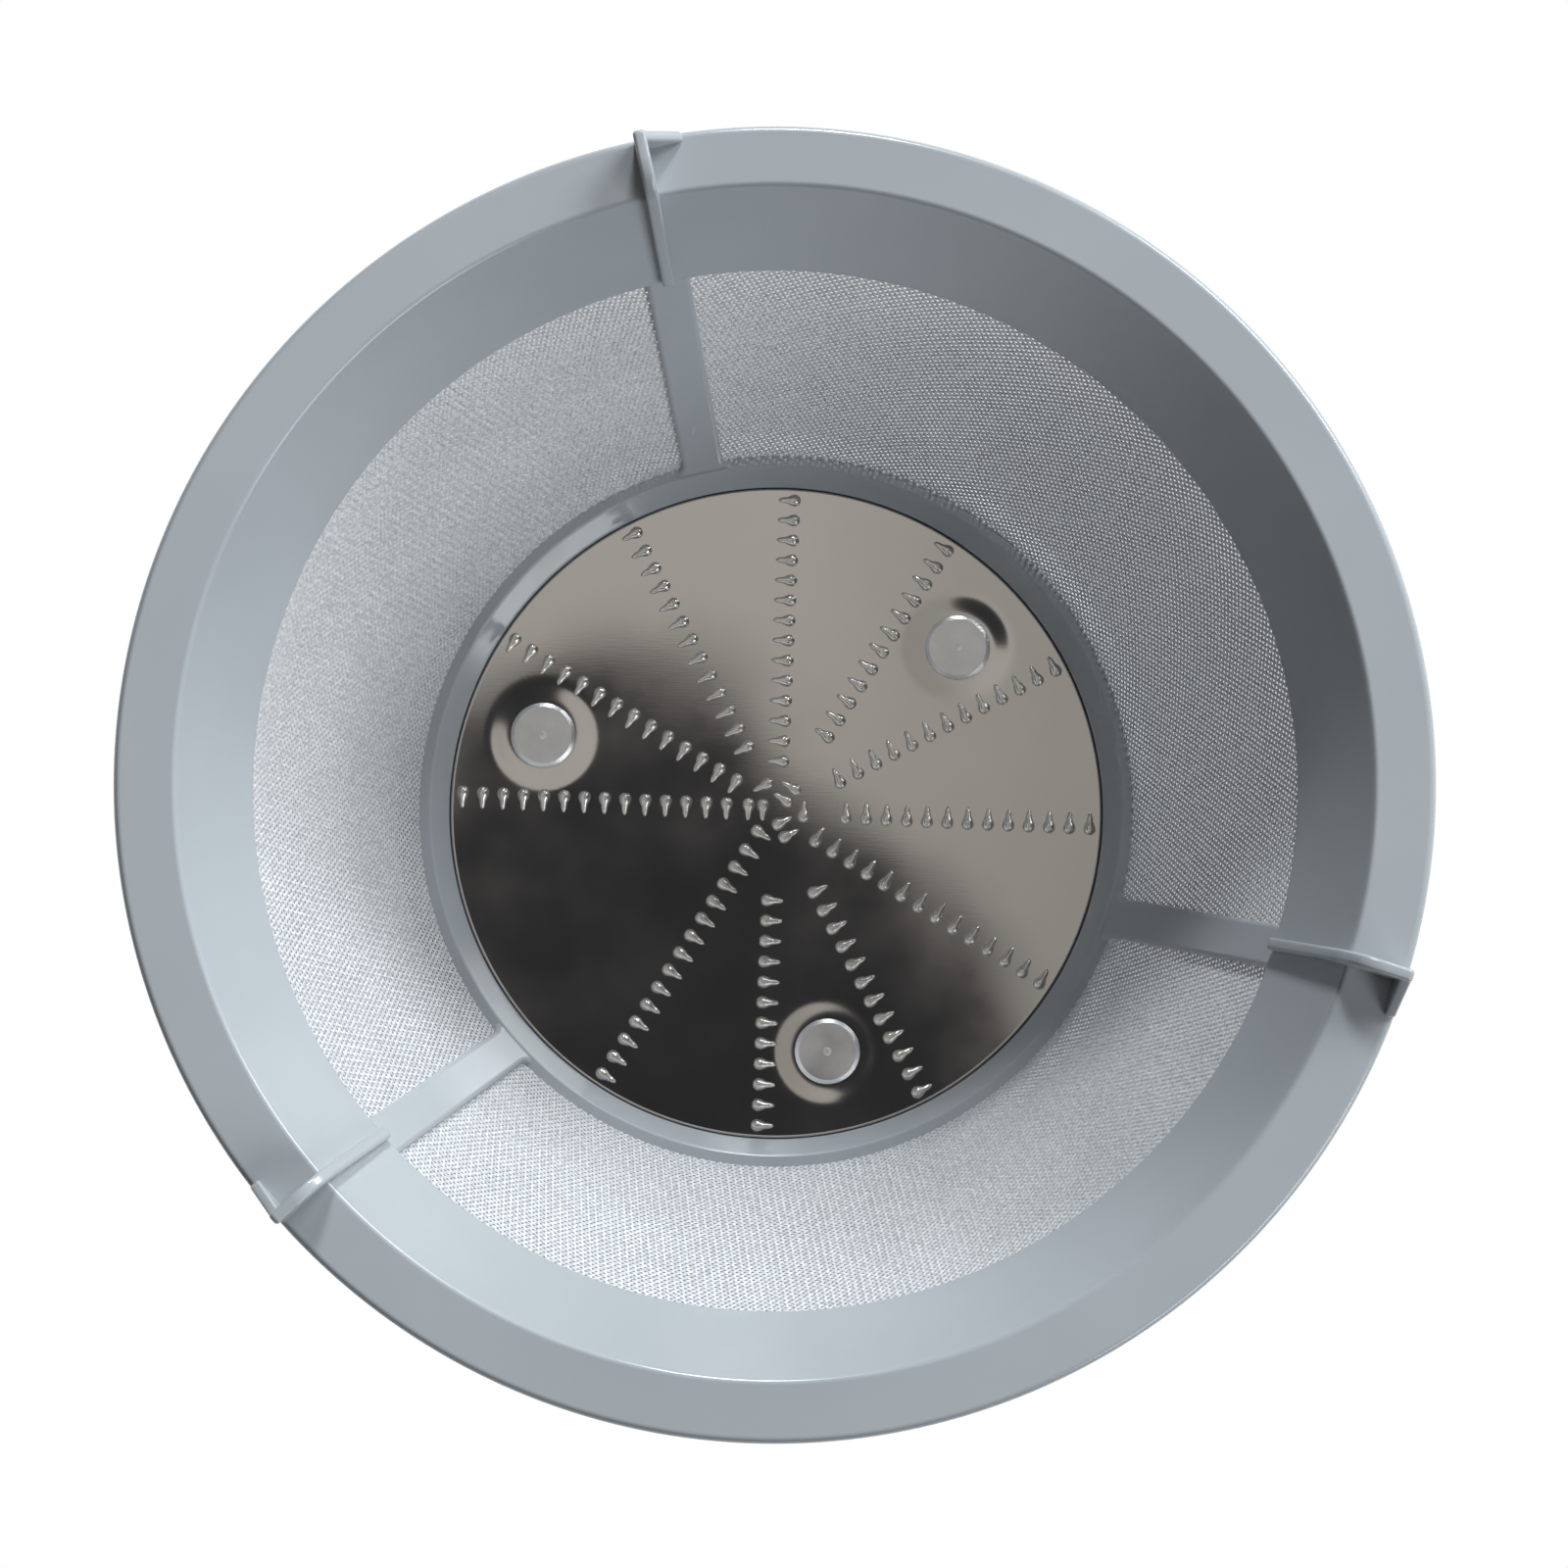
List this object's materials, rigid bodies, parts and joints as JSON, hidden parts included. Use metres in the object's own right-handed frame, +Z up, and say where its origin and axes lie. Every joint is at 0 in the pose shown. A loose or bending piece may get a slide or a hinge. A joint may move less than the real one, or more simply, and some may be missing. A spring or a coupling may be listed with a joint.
{
  "type": "juicer mesh screen",
  "caption": "Conical spinning filter basket of a centrifugal juicer: grey moulded frame with ribs and fins, fine woven wire mesh panels and a riveted grating disc in the floor.",
  "frame": {"origin": "on the axis of spin, in the plane of the skirt's foot that the basket stands on", "axes": "+Z up along the axis of spin, out of the open mouth; +X to the right in the picture, +Y to its top"},
  "size_m": [0.142, 0.142, 0.07],
  "materials": {
    "frame_plastic": "semi-gloss moulded light blue-grey",
    "polished_steel": "mirror-polished stainless sheet",
    "rivet_aluminium": "satin",
    "mesh_wire": "bright plain-woven stainless wire"
  },
  "bodies": {
    "root": {"basket_frame": "frame_plastic", "drive_hub": "frame_plastic", "grating_disc": "polished_steel", "rivets": "rivet_aluminium", "mesh_panel_right": "mesh_wire", "mesh_panel_left": "mesh_wire", "mesh_panel_lower": "mesh_wire"}
  },
  "joints": []
}
